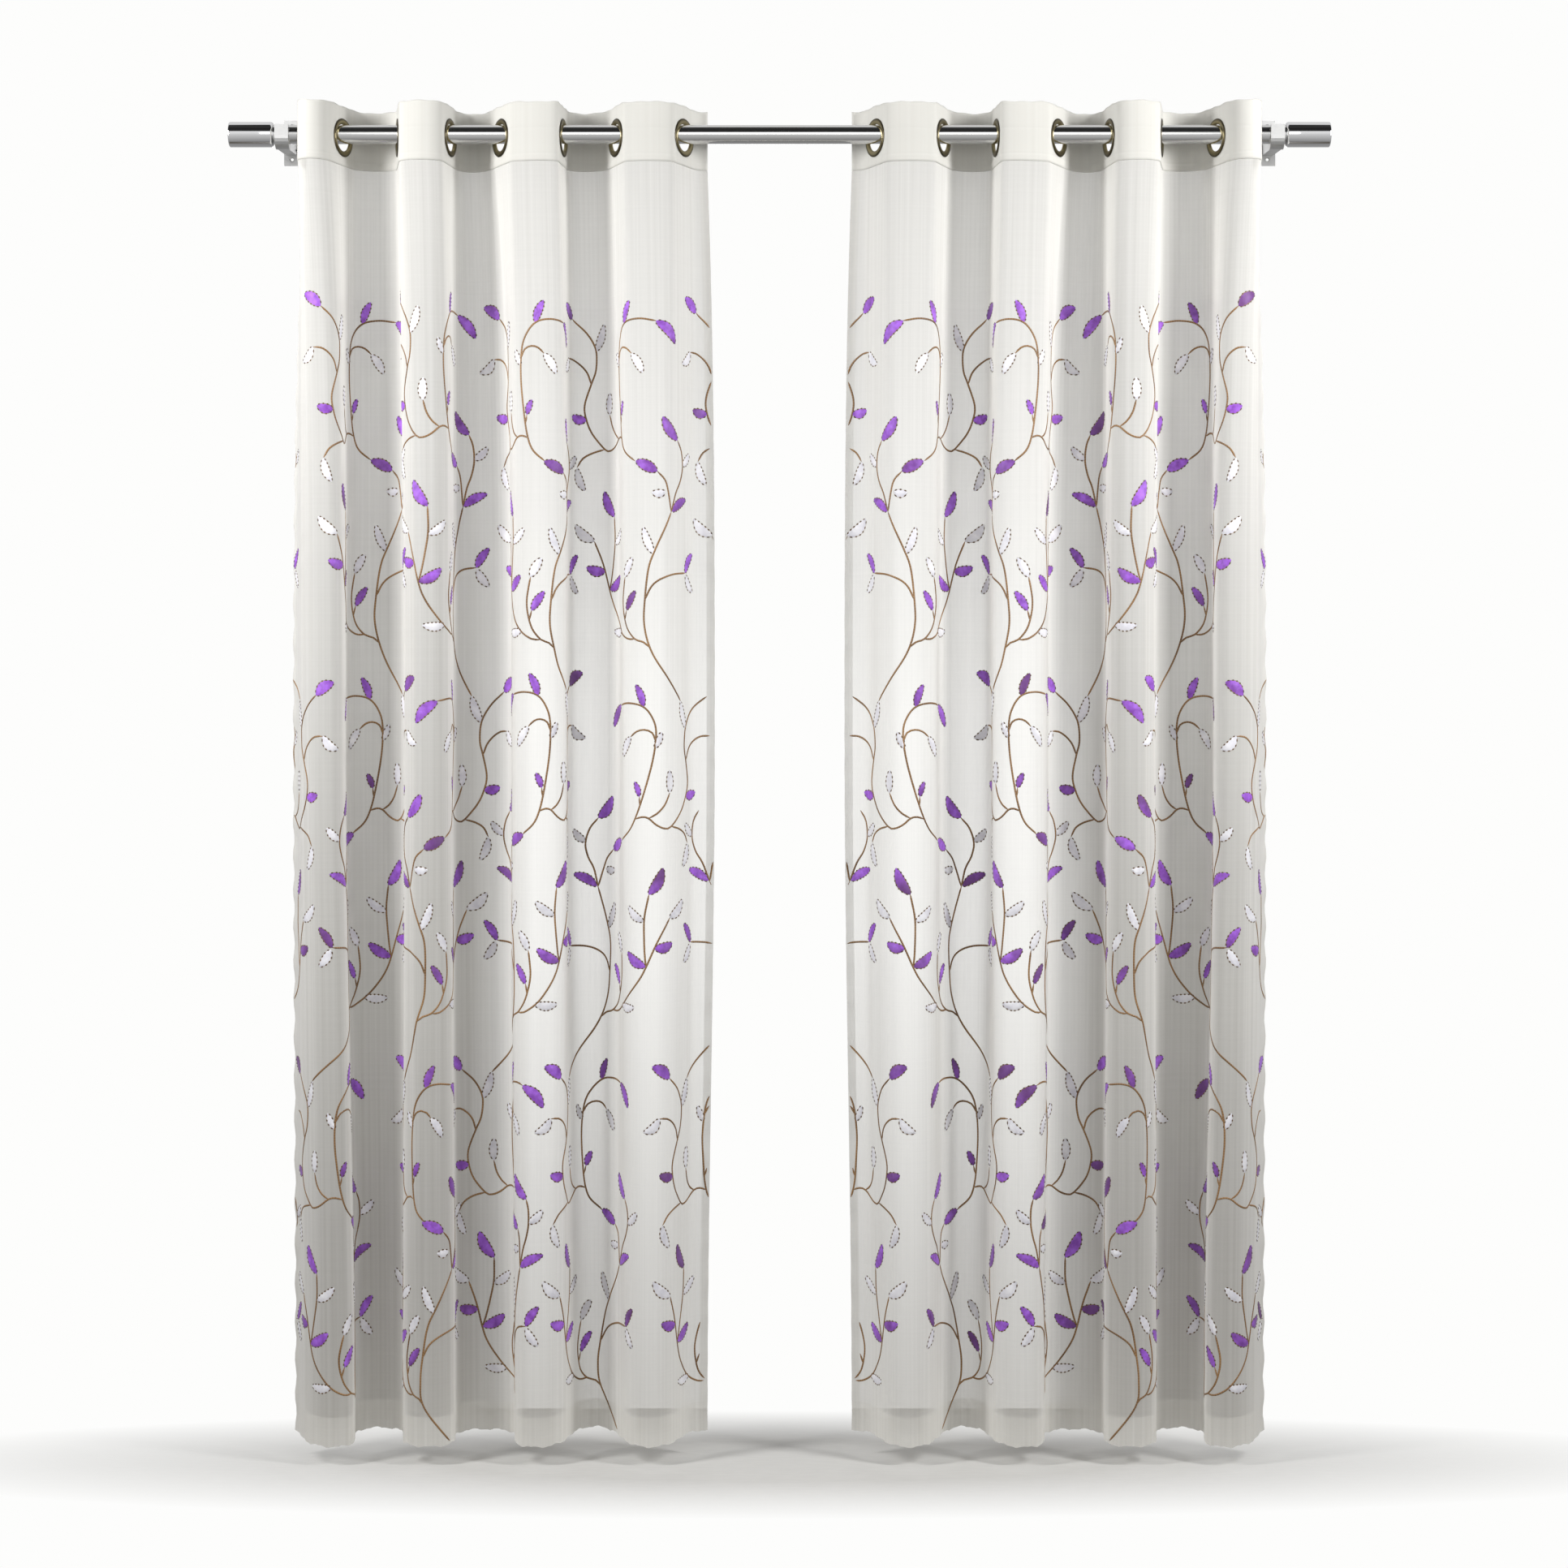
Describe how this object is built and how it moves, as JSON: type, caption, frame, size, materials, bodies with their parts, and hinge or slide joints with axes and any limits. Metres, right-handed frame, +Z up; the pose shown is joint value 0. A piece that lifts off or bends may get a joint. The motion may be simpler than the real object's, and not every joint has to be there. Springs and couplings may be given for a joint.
{
  "type": "pair of sheer voile eyelet curtains on a curtain rod",
  "caption": "Pair of sheer embroidered voile curtain panels with an eyelet heading, hung in soft folds on a round metal rod with cylinder finials and wall brackets.",
  "frame": {"origin": "on the wall plane, midway between the two brackets, level with the rod's centre line", "axes": "+X along the rod to the right as seen from the room, +Y into the wall, +Z up"},
  "size_m": [1.7666, 0.1546, 2.1392],
  "materials": {
    "voile": "sheer plain weave, soft white",
    "heading_cloth": "double stiffened voile, soft white",
    "embroidery_brown": "twisted embroidery thread, golden brown",
    "embroidery_purple": "satin stitch, purple",
    "embroidery_white": "satin stitch, white",
    "antique_brass": "antiqued, satin",
    "brushed_steel": "polished tube",
    "polished_chrome": "mirror plated",
    "satin_zinc": "satin silver on cast zinc",
    "dark_screw": "blackened steel"
  },
  "bodies": {
    "root": {"rod": "brushed_steel", "finial_left": "polished_chrome", "bracket_left": "satin_zinc", "set_screw_left": "dark_screw", "eyelet_left_1": "antique_brass", "eyelet_left_2": "antique_brass", "eyelet_left_3": "antique_brass", "eyelet_left_4": "antique_brass", "eyelet_left_5": "antique_brass", "eyelet_left_6": "antique_brass", "eyelet_left_7": "antique_brass", "eyelet_left_8": "antique_brass", "heading_left": "heading_cloth", "panel_left": "voile", "finial_right": "polished_chrome", "bracket_right": "satin_zinc", "set_screw_right": "dark_screw", "eyelet_right_1": "antique_brass", "eyelet_right_2": "antique_brass", "eyelet_right_3": "antique_brass", "eyelet_right_4": "antique_brass", "eyelet_right_5": "antique_brass", "eyelet_right_6": "antique_brass", "eyelet_right_7": "antique_brass", "eyelet_right_8": "antique_brass", "heading_right": "heading_cloth", "panel_right": "voile"}
  },
  "joints": []
}
